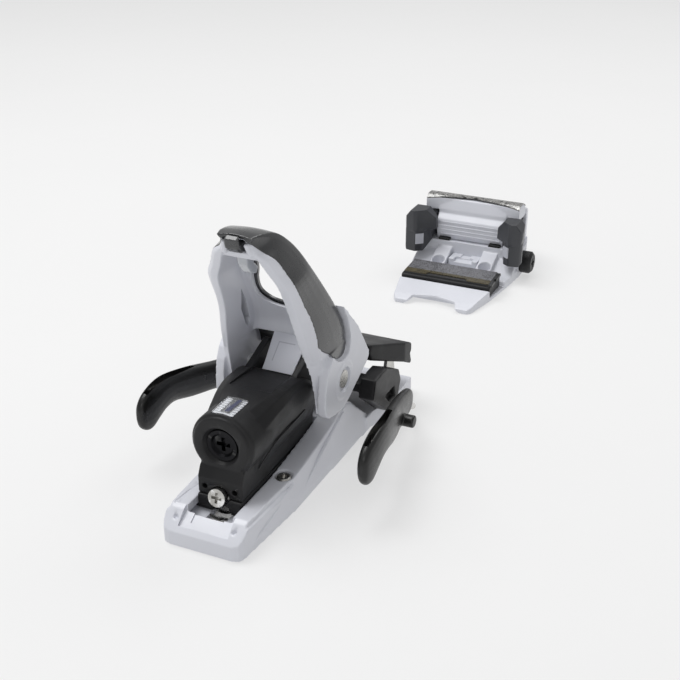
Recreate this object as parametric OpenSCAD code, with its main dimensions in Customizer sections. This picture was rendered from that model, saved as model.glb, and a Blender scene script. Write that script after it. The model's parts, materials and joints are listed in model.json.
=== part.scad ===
// Alpine ski binding: toe piece and heel piece, as they stand on one ski.
// +Y points to the ski's tip, +X to the right, z = 0 is the ski's top sheet.
// The origin is the centre of the toe piece's four mounting screw holes.

/* [Fit on the ski] */
// Length of the boot sole held between toe wings and heel lip
sole_length = 300; // [280:1:330]
// Sideways distance between mounting screws
screw_pitch_x = 42; // [40:1:43]
// Distance between front and rear toe screws
screw_pitch_y = 58; // [56:1:60]
// Diameter of a mounting screw hole
screw_hole_d = 5.6; // [5.4:0.1:6]

/* [Heel piece] */
// Height of the pivot of the heel lever
pivot_z = 64; // [62:1:66]
// Diameter of the lever axle
axle_d = 8; // [6:0.5:8]
// Outer diameter of the spring barrel
barrel_d = 40; // [38:1:41]
// Height of the barrel's axis
barrel_z = 53.5; // [52:0.5:54]
// Half width of the widest part of the housing
shoulder_half = 24; // [22:0.5:24.5]
// Diameter of the release screw's head
release_head_d = 19; // [16:1:20]

/* [Lever] */
// Height of the arch's apex above the ski
arch_top = 171; // [165:1:175]
// Thickness of each arch leg
leg_w = 9.5; // [8:0.5:10]
// Half the distance between the insides of the legs
leg_inner = 25.6; // [25.4:0.1:26]

/* [Brake] */
// Half the distance between the middles of the two paddles
paddle_half = 69; // [66:1:72]
// Diameter of the brake wire
wire_d = 4.4; // [4:0.1:5]

/* [Toe piece] */
// Half width of the anti-friction plate
afd_half = 39; // [36:0.5:40]
// Height of the toe piece's roof
roof_z = 61; // [58:1:63]
// Diameter of the side adjuster knob
knob_d = 19; // [16:1:20]

/* [Hidden] */
$fn = 64;

clear = 0.3;            // gap between pieces that move past each other
run = 0.05;             // radial clearance of a running fit
toe_contact_y = -17;    // where the boot's toe meets the wings
heel_contact_y = 150;   // where the boot's heel ends, in front of the heel piece's tail
heel_y = toe_contact_y - sole_length - heel_contact_y;
sx = screw_pitch_x / 2;
sy = screw_pitch_y / 2;
pivot_y = 112;
screw_head_z = 24;      // height of the length screw's head
screw_tilt = 12;        // how far the length screw slopes down into the housing
barrel_r = barrel_d / 2;
axle_r = axle_d / 2;
wire_r = wire_d / 2;
wire_y = 195;
wire_z = 6.5;
foot_half = 14.3;
label_half = 6.4;
flange_half = 17.1;
heel_screw_y = 62;
release_r = release_head_d / 2;
wing_pin = [36.5, 8];
knob_y = -3;
knob_z = 12.5;

// ---------- helpers ----------

// Places the heel piece's own frame, which starts at its tail
module heel() {
    translate([0, heel_y, 0]) children();
}

module both_sides() {
    children();
    mirror([1, 0, 0]) children();
}

// Extrudes an outline of [y, z] points from x0 to x1
module side_plate(points, x0, x1) {
    translate([x0, 0, 0]) rotate([90, 0, 90]) linear_extrude(height = x1 - x0) polygon(points);
}

// Extrudes an outline of [x, z] points from y0 to y1
module front_plate(points, y0, y1) {
    translate([0, y1, 0]) rotate([90, 0, 0]) linear_extrude(height = y1 - y0) polygon(points);
}

// Extrudes an outline of [x, y] points from z0 to z1
module plan_plate(points, z0, z1) {
    translate([0, 0, z0]) linear_extrude(height = z1 - z0) polygon(points);
}

// Mirrors the right half of an outline to close it on the left
function mirrored(right) = concat(right, [for (i = [len(right) - 1 : -1 : 0]) [-right[i][0], right[i][1]]]);

// A box given by its lowest and highest corners
module block(low, high) {
    translate(low) cube(high - low);
}

module tube_x(r, x0, x1, y, z) {
    translate([x0, y, z]) rotate([0, 90, 0]) cylinder(r = r, h = x1 - x0);
}

module tube_y(r, y0, y1, x, z) {
    translate([x, y0, z]) rotate([-90, 0, 0]) cylinder(r = r, h = y1 - y0);
}

module tube_z(r, z0, z1, x, y) {
    translate([x, y, z0]) cylinder(r = r, h = z1 - z0);
}

// A round rod between two points
module rod(a, b, r) {
    d = b - a;
    translate(a)
        rotate([0, acos(d[2] / norm(d)), atan2(d[1], d[0])])
            cylinder(r = r, h = norm(d));
}

// A corrugated sleeve in the shape of a coil spring's envelope, along +Z
module spring_sleeve(r_out, wire, turns, length) {
    steps = turns * 8;
    outer = [for (i = [0 : steps]) [r_out - wire * 0.18 * (1 - cos(i * 45)), i * length / steps]];
    rotate_extrude() polygon(concat(outer, [[r_out - wire, length], [r_out - wire, 0]]));
}

module cross_slot(size, depth) {
    for (a = [0, 90]) rotate(a)
        translate([-size / 2, -size * 0.14, -depth]) cube([size, size * 0.28, depth + 1]);
}

// ---------- heel piece, fixed to the ski ----------

heel_rail_side = [
    [0, 0], [0, 9], [2, 11], [10, 18.5], [13, 20], [60, 20.3], [100, 25], [138, 31.5], [144, 30],
    [166, 10], [200, 12], [224, 12], [228, 9], [228, 0]
];
heel_plan = mirrored([
    [20, 0], [24, 1.2], [25.8, 4.7], [30.5, 62], [31, 140], [32, 168], [38, 192], [38, 224], [34, 228]
]);
rail_section = mirrored([[40, -1], [31.6, 0], [28.2, 20], [26.8, 33]]);

module heel_base() {
    color("white") heel() difference() {
        union() {
            intersection() {
                side_plate(heel_rail_side, -45, 45);
                plan_plate(heel_plan, -1, 40);
                front_plate(rail_section, -1, 172);
            }
            intersection() {
                side_plate([[160, 0], [160, 11], [200, 12], [224, 12], [228, 9], [228, 0]], -45, 45);
                plan_plate(heel_plan, -1, 40);
            }
        }
        // channel for the carriage, open to the tail and wider below the rails' lips
        block([-foot_half - clear, 12, 14.5], [foot_half + clear, 168, 40]);
        block([-flange_half - clear, 14.2, 10.7], [flange_half + clear, 142, 14.6]);
        block([-10, 12, 10.7], [10, 22, 15]);
        // notch in the tail's lip, for the head of the length screw
        block([-6, 8, 16.6], [6, 13, 30]);
        block([-6.3, 14.2, 5.9], [6.3, 150, 11]);
        block([-4.3, 12, 6.9], [4.3, 15, 13]);
        // clear way for the cup's low corners and a low middle in front of the rails
        block([-20, 150, 12], [20, 172, 40]);
        both_sides() {
            // facet that rises along the flank, and the pocket in the tail corner
            translate([29.2, 30, 21]) rotate([0, 12, -3]) cube([6, 60, 9], center = true);
            plan_plate([[16, 5.5], [20, 5.5], [20.4, 10]], 13.2, 22);
            // screw hole with its countersunk seat
            tube_z(screw_hole_d / 2, -1, 30, sx, heel_screw_y);
            tube_z(5.4, 17.2, 30, sx, heel_screw_y);
            tube_z(screw_hole_d / 2, -1, 30, sx, 206);
            tube_z(5.4, 8.5, 30, sx, 206);
            // bearing for the brake wire's inner end
            tube_x(wire_r + run, 26, 40, wire_y, wire_z);
        }
        // long groove on the left rail
        translate([-21, 25, 20.3]) rotate([0, 0, 4]) cube([1.4, 24, 1.6], center = true);
    }
}

module heel_rack() {
    color("silver") heel() difference() {
        union() {
            block([-6, 14.3, 6], [6, 100, 8]);
            block([-4, 12.3, 7], [4, 16, 10.4]);
            // curved teeth that the length screw works on
            for (i = [0 : 9]) intersection() {
                block([-6, 20 + i * 7, 7.5], [6, 22.2 + i * 7, 10.6]);
                translate([0, 21 + i * 7, 17.5]) difference() {
                    cube([12, 6, 20], center = true);
                    rotate([90, 0, 0]) cylinder(r = 8.2, h = 8, center = true);
                }
            }
        }
        tube_z(1.6, 5, 9, 0, 96);
    }
}

module mount_screw(x, y, z_seat, length) {
    translate([x, y, z_seat]) difference() {
        union() {
            translate([0, 0, -length]) cylinder(r = 2.6, h = length + 0.5);
            cylinder(r = 5.1, h = 1.8);
            translate([0, 0, 1.8]) cylinder(r1 = 5.1, r2 = 3.8, h = 1.1);
        }
        translate([0, 0, 2.95]) rotate(20) cross_slot(5, 2);
    }
}

module heel_screws() {
    color("silver") heel() for (x = [-sx, sx]) mount_screw(x, heel_screw_y, 17.2, 17);
}

module wire_clips() {
    color("silver") heel() both_sides() difference() {
        side_plate([[188, 1], [188, 7], [191.5, 10.5], [198.5, 10.5], [202, 7], [202, 1]], 38, 43.5);
        tube_x(wire_r + run, 37, 45, wire_y, wire_z);
    }
}

module brake_block() {
    color([0.12, 0.12, 0.12]) heel() union() {
        both_sides() difference() {
            side_plate([[146, 33], [150, 45], [168, 46], [190, 35], [194, 26], [188, 12.2], [172, 12.2]],
                31.5, 42);
            // long ribs along the cheek's sloping top
            for (i = [0, 1]) translate([35 + i * 4, 178, 42.8]) rotate([-27, 0, 0])
                cube([1.2, 26, 3], center = true);
            side_plate([[166, 26], [182, 26], [184, 18], [174, 18]], 38, 43);
        }
        side_plate([[148, 36], [150, 41], [164, 41], [170, 37], [168, 34.5], [150, 34.5]], -32, 32);
    }
}

module pedal_bracket() {
    color("silver") heel() difference() {
        union() {
            both_sides() side_plate([[202, 12.1], [209.4, 39.2], [215.6, 39.2], [222, 12.1]], 24.2, 26.6);
            block([-26.6, 212, 12.1], [-15.5, 222, 14]);
            block([15.5, 212, 12.1], [26.6, 222, 14]);
        }
        tube_x(2.5, -30, 30, 212.5, 36);
    }
}

module pedal_pin() {
    color("gray") heel() tube_x(2.48, -33.5, 33.5, 212.5, 36);
}

// ---------- heel carriage, sliding on the base ----------

module carriage_foot() {
    color([0.1, 0.1, 0.1]) heel() difference() {
        union() {
            block([-foot_half, 23, 15], [foot_half, 118, 22]);
            block([-foot_half, 25, 11], [foot_half, 118, 15.1]);
            block([-flange_half, 25, 11], [flange_half, 118, 14.2]);
        }
        // tunnel for the length screw, open below to the rack
        length_screw_axis() translate([0, 0, -8]) cylinder(r = 5.8, h = 60);
        block([-5.8, 20, 9], [5.8, 74, 17]);
    }
}

housing_side = [
    [27, 22], [27, barrel_z], [27, barrel_z + barrel_r], [60, 74], [88, 72], [95, 68], [114, 57],
    [116, 50], [113, 36], [116, 26], [113, 22]
];
// Half width of the housing along its length, seen from above
housing_plan = mirrored([
    [16, 22], [19.5, 50], [shoulder_half, 72], [shoulder_half, 100], [18, 117]
]);
housing_section = mirrored([
    [foot_half, 22], [foot_half, 33], [17, 38], [shoulder_half, 58], [shoulder_half, 68], [19, 75]
]);

module heel_housing() {
    color([0.1, 0.1, 0.1]) heel() difference() {
        union() {
            tube_y(barrel_r, 27, 64, 0, barrel_z);
            intersection() {
                side_plate(housing_side, -40, 40);
                plan_plate(housing_plan, 20, 90);
                front_plate(housing_section, 50, 120);
            }
            // stem that carries the barrel on the foot
            intersection() {
                side_plate([[24, 22], [24, 33], [28, 40], [70, 50], [70, 22]], -foot_half - 2, foot_half + 2);
                front_plate(mirrored([[foot_half, 22], [foot_half, 33], [16.2, 50]]), 20, 71);
            }
            // cheeks beside the front panel
            both_sides() side_plate([[84, 68], [112, 81], [117, 76], [117, 50], [90, 60]], 13, 18);
        }
        // rim step of the barrel's end
        translate([0, 27, barrel_z]) rotate([-90, 0, 0]) difference() {
            cylinder(r = barrel_r + 1, h = 2, center = true);
            cylinder(r1 = barrel_r - 2.2, r2 = barrel_r + 1, h = 3.2, center = true);
        }
        // spring barrel and the seat of the release screw
        tube_y(16.2, 34, 104, 0, barrel_z);
        tube_y(release_r + 0.1, 20, 35, 0, barrel_z);
        translate([0, 26.9, barrel_z]) rotate([-90, 0, 0])
            cylinder(r1 = release_r + 2.2, r2 = release_r, h = 2.4);
        // slot under the scale window
        block([-3, 34, barrel_z + 10], [3, 48.4, 80]);
        block([-label_half - 0.3, 30.5, barrel_z + 18.6], [label_half + 0.3, 49.4, 80]);
        // axle bore
        tube_x(axle_r + 0.02, -40, 40, pivot_y, pivot_z);
        // shallow hollow in the top, between its two shoulders
        side_plate([[66, 78], [62, 71.5], [86, 69.5], [92, 78]], -15, 15);
        // room for the front panel
        side_plate([[92, 80], [94.6, 66.5], [118, 80]], -13, 13);
        // two small blind holes beside the length screw, and room for its head
        both_sides() tube_y(1.6, 20, 30, 9.6, 27);
        length_screw_axis() translate([0, 0, -8]) cylinder(r = 5.8, h = 60);
    }
}

module front_panel() {
    color("white") heel() intersection() {
        side_plate([[95.2, 67.2], [117.4, 85.2], [119, 83], [114.6, 77.6], [104, 70.6]], -13, 13);
        front_plate(mirrored([[10.4, 60], [10.4, 71], [12.6, 90]]), 90, 125);
    }
}

module scale_card() {
    color("navy") heel() block([-label_half, 30.8, barrel_z + 18.7], [label_half, 33.6, barrel_z + 19]);
    color("white") heel() {
        block([-label_half, 33.7, barrel_z + 18.7], [-3.1, 49.1, barrel_z + 19]);
        block([3.1, 33.7, barrel_z + 18.7], [label_half, 49.1, barrel_z + 19]);
    }
}

module scale_window() {
    color([0.8, 0.9, 1, 0.4]) heel()
        block([-label_half, 30.8, barrel_z + 19.05], [label_half, 49.1, barrel_z + 20.2]);
}

module release_spring() {
    color("silver") heel() translate([0, 47.1, barrel_z]) rotate([-90, 0, 0])
        spring_sleeve(13.4, 4, 8, 47.4);
}

module cam_piston() {
    color("gray") heel() {
        tube_y(14.8, 99.6, 103.8, 0, barrel_z);
        tube_y(7.5, 90, 99.7, 0, barrel_z);
    }
}

module lever_axle() {
    color("silver") heel() tube_x(axle_r, -36, 36, pivot_y, pivot_z);
}

module axle_caps() {
    color("silver") heel() both_sides() tube_x(axle_r + 1.6, 36, 37.2, pivot_y, pivot_z);
}

// Places the length screw's own frame: its head's outer face, axis along +Z into the housing
module length_screw_axis() {
    translate([0, 20, screw_head_z]) rotate([-90 - screw_tilt, 0, 0]) children();
}

module length_screw() {
    color("silver") heel() length_screw_axis() difference() {
        union() {
            cylinder(r = 5.4, h = 3.6);
            translate([0, 0, 3]) cylinder(r = 3.2, h = 9);
            // worm thread, drawn as rings
            translate([0, 0, 11]) rotate_extrude() polygon(concat(
                [[0, 0]],
                [for (i = [0 : 28]) [3.9 + 0.7 * cos(i * 90), i * 1.1]],
                [[0, 30.8]]
            ));
        }
        rotate([180, 0, 0]) cross_slot(6.4, 2);
    }
}

module release_screw() {
    color([0.15, 0.15, 0.15]) heel() difference() {
        union() {
            tube_y(release_r, 29, 33.5, 0, barrel_z);
            tube_y(4.5, 33, 62, 0, barrel_z);
        }
        translate([0, 28.9, barrel_z]) rotate([-90, 0, 0]) cylinder(r1 = 7.4, r2 = 6.2, h = 1.8);
        translate([0, 30.6, barrel_z]) rotate([90, 0, 0]) cross_slot(8.6, 2.6);
    }
}

module release_nut() {
    color("navy") heel() difference() {
        union() {
            tube_y(15.8, 42, 47, 0, barrel_z);
            block([-2.6, 39, barrel_z + 14], [2.6, 42.5, barrel_z + 18.6]);
            block([-2.6, 39, barrel_z + 12], [2.6, 46, barrel_z + 15]);
        }
        tube_y(4.5 + run, 40, 50, 0, barrel_z);
    }
}

// ---------- heel lever, turning on the axle ----------

// Side curves of the arch as [y, z], from the bosses up to the apex
frame_front = [
    [124, 70], [119.4, 90], [115.4, 99.7], [108.5, 111.3], [100, 124.3], [91.6, 139.3], [86.5, 150.3],
    [81.6, 158], [73, 164.8], [60, 168.8], [52, 168.8]
];
frame_rear = [
    [47, 163], [55, 155.5], [60, 149], [65, 137], [72.8, 120], [75.4, 110], [78.2, 100], [83.2, 85],
    [88.4, 70], [96, 57]
];
cover_front = [
    [112.5, 77.3], [119, 80], [121.6, 88], [117.4, 100.6], [110.4, 112.4], [102, 125.4], [93.6, 140.4],
    [88.5, 151.6], [83.4, 159.8], [74.2, 167.4], [60, arch_top + 0.8], [51.5, arch_top + 0.6]
];
cover_rear = [
    [51.5, 167], [61, 156.7], [66, 147], [69.2, 138], [76.7, 124], [82.4, 114], [86.2, 102], [88.5, 93],
    [99, 85.6]
];
// Half width of the white arch against height, as [x, z]
arch_outline = [
    [34.6, 40], [34.6, 70], [33, 93], [32.4, 102], [31.4, 114], [30.4, 124], [28.6, 138], [24, 147],
    [19.4, 154], [14.4, 163], [12, 172]
];
leg_hollow = [
    [leg_inner, 40], [leg_inner, 86], [24.4, 94], [22.9, 102], [20.9, 112], [19.9, 122], [18.6, 137],
    [12.6, 150], [10.8, 158], [10, 167.4]
];

module boss(r, x0, x1) {
    tube_x(r, x0, x1, pivot_y, pivot_z);
}

// The arch before it is hollowed out, grown by a gap
module arch_solid(grow) {
    intersection() {
        side_plate(concat([[118, 56]], [for (p = frame_front) p + [grow, grow]], frame_rear), -45, 45);
        front_plate(mirrored([for (p = arch_outline) p + [grow, 0]]), 30, 130);
    }
}

// Wing that reaches round the boot's heel, and the foot below the axle
wing_side = [
    [111, 113], [120.6, 102.4], [126.5, 97], [150, 66], [148, 61], [128, 51.5], [113, 44.6], [99, 45.4],
    [90, 46.6], [86.4, 51], [86, 62], [88.2, 72], [98, 84.8], [112.4, 76.6], [119.6, 79.2], [122.4, 88],
    [118.1, 100.9]
];
foot_side = [
    [88.2, 72], [86, 62], [86.4, 51], [90, 46.6], [99, 45.4], [113, 44.6], [128, 51.5], [126, 62], [112, 76]
];

module lever_frame() {
    color("white") heel() difference() {
        union() {
            difference() {
                arch_solid(0);
                // the hollow between the legs, open to the rear, with a wall in front
                intersection() {
                    side_plate([[60, 30], [130, 30], [130, 87.2], [116.2, 87.2], [104.6, 110], [96.6, 122.4],
                        [88.4, 137], [83.2, 148.6], [78.4, 155.8], [72, 161.4], [64, 169], [30, 170],
                        [30, 120]], -40, 40);
                    front_plate(mirrored(leg_hollow), 20, 140);
                }
            }
            // bar that joins the legs at the rear, below the grip
            side_plate([[58, 160], [59, 156], [66, 155], [66.5, 160.5], [60.2, 163]], -12.6, 12.6);
            both_sides() {
                boss(13, leg_inner, leg_inner + leg_w + 0.6);
                side_plate(foot_side, leg_inner, leg_inner + leg_w);
                side_plate(wing_side, leg_inner + 6, 37.6);
            }
        }
        // tall window in the front wall
        front_plate(mirrored([[6, 109], [14, 112], [17, 119], [16, 128], [12.4, 137], [10, 146],
            [9, 155], [4, 158.4]]), 70, 130);
        // slot in each leg
        both_sides() {
            translate([30, 101, 106]) rotate([27, 0, 0]) cube([24, 5, 27], center = true);
            boss(axle_r + run, 20, 40);
            boss(6.4, leg_inner + leg_w - 0.6, 40);
        }
    }
}

module lever_cover() {
    color([0.3, 0.3, 0.32]) heel() difference() {
        intersection() {
            side_plate(concat(cover_front, cover_rear), -45, 45);
            front_plate(mirrored([for (p = arch_outline) p + [1.8, 0]]), 30, 130);
        }
        arch_solid(0.06);
        front_plate(mirrored([[4, 112], [11, 114.5], [14.6, 120], [13.4, 128], [9.6, 136], [8.2, 146],
            [7, 155], [3, 157.6]]), 70, 130);
        // open below the front wall, where the boot's heel is
        side_plate([[130, 60], [130, 87.2], [114, 87.2], [100, 60]], -leg_inner - 6, leg_inner + 6);
    }
}

module lever_grip() {
    color([0.3, 0.3, 0.32]) heel() side_plate(
        [[50.7, 171.2], [47.8, 169.5], [49, 164], [53, 160.6], [57.4, 160.3], [59.4, 163.4], [57, 166.4],
            [56.2, 167.3], [50.7, 167.3]],
        -4.4, 4.4);
}

module lever_clip() {
    color([0.8, 0.82, 0.85]) heel() side_plate(
        [[59.2, 155.9], [60, 151], [65, 144.5], [70, 142.6], [72.4, 146], [68, 150], [65.8, 154.9]],
        -3.2, 3.2);
}

module heel_lip() {
    color([0.12, 0.12, 0.12]) heel() difference() {
        side_plate([[134.6, 66], [149, 62], [150, 65], [140, 78], [128, 86], [124, 84], [129.6, 78],
            [133, 72.5]], -leg_inner - 5.9, leg_inner + 5.9);
        translate([0, 160, 55]) cylinder(r = 23, h = 30);
    }
}

// ---------- ski brake ----------

wire_path = [[28, wire_y, wire_z], [48, wire_y, wire_z], [52, 190, 9.5], [61, 158, 30],
    [paddle_half, 112, 43]];

module wire_side() {
    for (i = [0 : len(wire_path) - 2]) rod(wire_path[i], wire_path[i + 1], wire_r);
    for (i = [1 : len(wire_path) - 2]) translate(wire_path[i]) sphere(r = wire_r + 0.15);
}

module brake_wires() {
    color("silver") heel() both_sides() wire_side();
}

paddle_side = [
    [66, 26], [73, 33], [90, 34], [113, 28], [140, 23], [158, 22], [166, 28], [166, 36], [156, 40],
    [134, 46], [104, 53], [80, 57], [62, 54], [53, 47], [52, 38], [58, 28]
];

module paddle() {
    intersection() {
        side_plate(paddle_side, 50, 80);
        plan_plate([[56, 168], [66, 168], [73, 130], [77, 90], [78, 56], [74, 50], [67, 52], [63, 90],
            [58, 130]], 20, 60);
    }
    tube_x(4, 68, 76, 132, 33);
}

module brake_paddles() {
    color([0.1, 0.1, 0.1]) heel() both_sides() difference() {
        paddle();
        wire_side();
        // groove in the top, where the wire's end shows
        translate([70, 112, 55]) rotate([13, 0, 4]) cube([6, 46, 15], center = true);
    }
}

module brake_pedal() {
    color([0.13, 0.13, 0.13]) heel() difference() {
        intersection() {
            side_plate([[164, 56], [166, 61.5], [206, 48], [214, 44], [218, 38], [217, 30], [211, 29.5],
                [206, 33], [166, 50]], -45, 45);
            plan_plate(mirrored([[30, 160], [34, 172], [42, 200], [42, 212], [38, 219]]), 20, 70);
        }
        // hollow underneath
        intersection() {
            side_plate([[168, 40], [169, 55], [205, 42], [207.5, 20]], -45, 45);
            plan_plate(mirrored([[27, 160], [31, 174], [38.5, 202], [38.5, 216]]), 20, 70);
        }
        block([-27, 206, 20], [27, 220, 41]);
        tube_x(2.5 + run, -45, 45, 212.5, 36);
        // two long steps in the top
        both_sides() for (x = [31, 14]) translate([x, 186, 58.3]) rotate([-18.5, 0, 0])
            cube([3, 60, 3], center = true);
    }
}

// ---------- toe piece, fixed to the ski ----------

toe_plan = mirrored([
    [24, -103], [31, -103], [34, -99], [40, -70], [45, -28], [46.2, -12], [46.2, 10], [40, 34], [30, 48],
    [14, 54]
]);
toe_side = [
    [-103, 0], [-103, 3.4], [-96, 6.4], [-71, 9.6], [-70, 3], [-42, 3], [-41, 7], [-12, 8], [-12, 24],
    [28, 24], [40, 16], [54, 8], [54, 0]
];

module toe_base() {
    color("white") difference() {
        union() {
            intersection() {
                side_plate(toe_side, -60, 60);
                plan_plate(toe_plan, -1, 40);
            }
            // ramps on both sides in front of the anti-friction plate
            both_sides() side_plate([[-41, 5], [-41, 8], [-11, 20], [-11, 5]], 14, 27.5);
            // tapered cheeks beside the knob
            both_sides() side_plate([[-30, 5], [-30, 7.4], [-11.9, 15.6], [-11.9, 5]], 27, 45);
        }
        // arched underside between the two feet
        front_plate(mirrored([[26, -1], [17, 4.2], [0, 4.8]]), -110, -88);
        // open front of the skirt's middle
        plan_plate(mirrored([[23.5, -110], [18, -96], [0, -92]]), -1, 10);
        // bore of the transverse spring
        tube_x(8.6, -38, 50, knob_y, knob_z);
        // slot for the indicator's arm
        block([9, 0.6, 14], [25, 5.4, 30]);
        // mounting holes
        for (x = [-sx, sx]) {
            tube_z(screw_hole_d / 2, -1, 30, x, -sy);
            tube_z(5.4, 5.5, 30, x, -sy);
            tube_z(screw_hole_d / 2, -1, 30, x, sy);
            tube_z(5.4, 14, 30, x, sy);
        }
        // holes for the wing pins
        for (x = [-wing_pin[0], wing_pin[0]]) tube_z(2.98, 20, 26, x, wing_pin[1]);
    }
}

roof_plan = mirrored([[0, 0.5], [28, -3.5], [42, -6], [42.6, 8], [40, 24], [24, 34]]);
toe_core_side = [
    [-7, 24.1], [-9.6, 30], [-9.8, 42], [-5, 47], [-5, 50], [-2, roof_z - 2], [2, roof_z],
    [6, roof_z - 0.4], [24, 51.5], [40, 42], [46, 24.1]
];

module toe_housing() {
    color("white") difference() {
        union() {
            // narrow middle between the wings
            intersection() {
                side_plate(toe_core_side, -30.4, 30.4);
                plan_plate(mirrored([[0, -12], [30.4, -12], [30.4, 30], [22, 46]]), 20, 70);
            }
            // wide roof over the wings
            intersection() {
                side_plate([[-6, 49.2], [-6, roof_z - 3], [-2, roof_z], [6, roof_z - 0.4], [28, 49.2]],
                    -43, 43);
                plan_plate(roof_plan, 20, 70);
            }
            // wide nose
            intersection() {
                side_plate([[16, 24.1], [16, 54], [24, 51.5], [40, 42], [46, 24.1]], -43, 43);
                plan_plate(mirrored([[42.6, 16], [40, 30], [24, 46]]), 20, 70);
            }
        }
        // hollow inside
        side_plate([[-5, 24], [-6.5, 42], [-1, 47], [1, roof_z - 3.5], [5, roof_z - 4], [22, 48.6], [36, 40.6],
            [41, 24]], -26.5, 26.5);
        // ribs across the rear face
        for (z = [29.5, 33.5, 37.5, 41.5]) block([-31, -11, z], [31, -9.1, z + 0.7]);
        // room for the front screws and the wing pins
        for (x = [-sx, sx]) tube_z(6, 20, 40, x, sy);
        for (x = [-wing_pin[0], wing_pin[0]]) tube_z(2.98, 48, 52, x, wing_pin[1]);
        // seat of the scale window in the nose
        nose_label() cube([16, 8.8, 3.4], center = true);
        // seats of the two bumpers
        both_sides() block([17.6, -12, 24], [28.2, -6, 26.2]);
        // roof cover lies in a shallow recess
        translate([0, 0, roof_z - 0.4]) cube([76, 14, 2], center = true);
    }
}

module toe_roof() {
    color([0.55, 0.55, 0.57]) intersection() {
        side_plate([[-7, roof_z - 2.8], [-2.6, roof_z + 0.7], [2, roof_z + 1.2], [6.4, roof_z + 0.7],
            [14, roof_z - 3.3], [13.4, roof_z - 4.15], [5.9, roof_z - 0.3], [2, roof_z + 0.05],
            [-2, roof_z + 0.05], [-6.1, roof_z - 3]], -42, 42);
        plan_plate(roof_plan, 20, 70);
    }
}

module toe_bumpers() {
    color("black") both_sides() block([17.8, -11.5, 24.05], [28, -7.2, 26]);
}

module wing_pins() {
    color("silver") both_sides() tube_z(2.96, 20.1, 51.9, wing_pin[0], wing_pin[1]);
}

module height_block() {
    color("white") difference() {
        block([-13, -26, 8], [13, -12.1, 14]);
        block([-8, -27, 11.5], [8, -19, 15]);
        block([-4, -20, 13], [4, -12, 15]);
    }
}

module afd_carrier() {
    color([0.1, 0.1, 0.1]) difference() {
        side_plate([[-69.6, 3.05], [-69.6, 11.4], [-68, afd_z(-68)], [-43, afd_z(-43)], [-42.2, 12.8],
            [-42.2, 3.05]], -afd_half, afd_half);
        // pocket in which the slide runs sideways
        block([-29, -59, 6], [29, -52, 20]);
    }
}

// Places the frame of the scale's seat: a point on the nose's slope, with +Z out of it
module nose_label() {
    translate([18, 32, 46.75]) rotate([-30.7, 0, 0]) children();
}

module toe_scale_card() {
    color("white") nose_label() translate([0, 0, -1.45]) cube([14, 8, 0.4], center = true);
}

module toe_window() {
    color([0.8, 0.9, 1, 0.4]) nose_label() translate([0, 0, -0.6]) cube([15, 8.4, 1.2], center = true);
}

// ---------- toe wings ----------

wing_outline = [
    [27.5, 36], [28, 46], [35, 54.5], [47, 54.5], [52.4, 47.5], [52.4, 42], [51.5, 36]
];
wing_leg_outline = [[31, 37], [31.5, 27], [36, 17.4], [50.5, 17.4], [52.4, 20], [52.4, 37]];

module wing_shape() {
    difference() {
        union() {
            // upper part of the jaw that closes round the boot's toe
            intersection() {
                front_plate(wing_outline, -33, -13.6);
                plan_plate([[27.5, -13.6], [27.5, -19], [41, -31.4], [44, -32.4], [51, -30.6], [53, -27],
                    [50, -13.6]], 10, 60);
            }
            // its lower part, which rises towards the front to pass over the adjuster knob
            intersection() {
                front_plate(wing_leg_outline, -33, -13.6);
                plan_plate([[31.2, -13.6], [37, -28.2], [42, -31.8], [51, -30.6], [53, -27], [49, -13.6]],
                    10, 60);
                side_plate([[-34, 40], [-34, 17], [-27, 17], [-15, 24.4], [-13, 24.4], [-13, 40]], 20, 60);
            }
            // arm to the pivot
            side_plate([[-17, 28], [-17, 46], [-4, 47], [8, 47], [8, 26.4], [-4, 26.4]], 32, 42);
            tube_z(5.6, 26.4, 47, wing_pin[0], wing_pin[1]);
        }
        tube_z(2.96 + run, 20, 60, wing_pin[0], wing_pin[1]);
    }
}

module inlay_shape() {
    translate([38.9, -29.6, 29]) rotate([0, 0, -40]) cube([7, 1.6, 9], center = true);
}

module left_wing() {
    color([0.28, 0.29, 0.3]) mirror([1, 0, 0]) difference() {
        wing_shape();
        inlay_shape();
    }
}

module right_wing() {
    color([0.28, 0.29, 0.3]) difference() {
        wing_shape();
        inlay_shape();
    }
}

module left_inlay() {
    color([0.75, 0.76, 0.8]) mirror([1, 0, 0]) inlay_shape();
}

module right_inlay() {
    color([0.75, 0.76, 0.8]) inlay_shape();
}

// ---------- anti-friction plate ----------

// Height of the carrier's sloping top at y
function afd_z(y) = 12.1 + (y + 68) * 1.5 / 25;

module afd_band(y0, y1, half, lift, thick) {
    side_plate([[y0, afd_z(y0) + lift], [y0, afd_z(y0) + lift + thick], [y1, afd_z(y1) + lift + thick],
        [y1, afd_z(y1) + lift]], -half, half);
}

module afd_slide() {
    color([0.14, 0.14, 0.14]) {
        afd_band(-68, -43.4, afd_half - 1.6, clear, 1.1);
        side_plate([[-58, 7], [-58, afd_z(-58) + 1], [-53, afd_z(-53) + 1], [-53, 7]], -20, 20);
    }
}

module afd_front_strip() {
    color([0.5, 0.5, 0.52]) afd_band(-61, -43.6, afd_half - 1.8, clear + 1.1, 0.8);
}

module afd_rear_strip() {
    color([0.5, 0.42, 0.25]) difference() {
        afd_band(-67.8, -61.1, afd_half - 1.8, clear + 1.1, 0.8);
        plan_plate(mirrored([[20, -70], [16, -64.6]]), 5, 30);
    }
}

module afd_latch() {
    color("black") difference() {
        afd_band(-69.4, -45, afd_half + 1.6, clear, 1.9);
        block([-50, -80, 0], [afd_half - 1.5, 0, 30]);
        block([afd_half - 0.2, -61, 0], [50, -57, 30]);
    }
}

// ---------- toe release ----------

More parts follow.
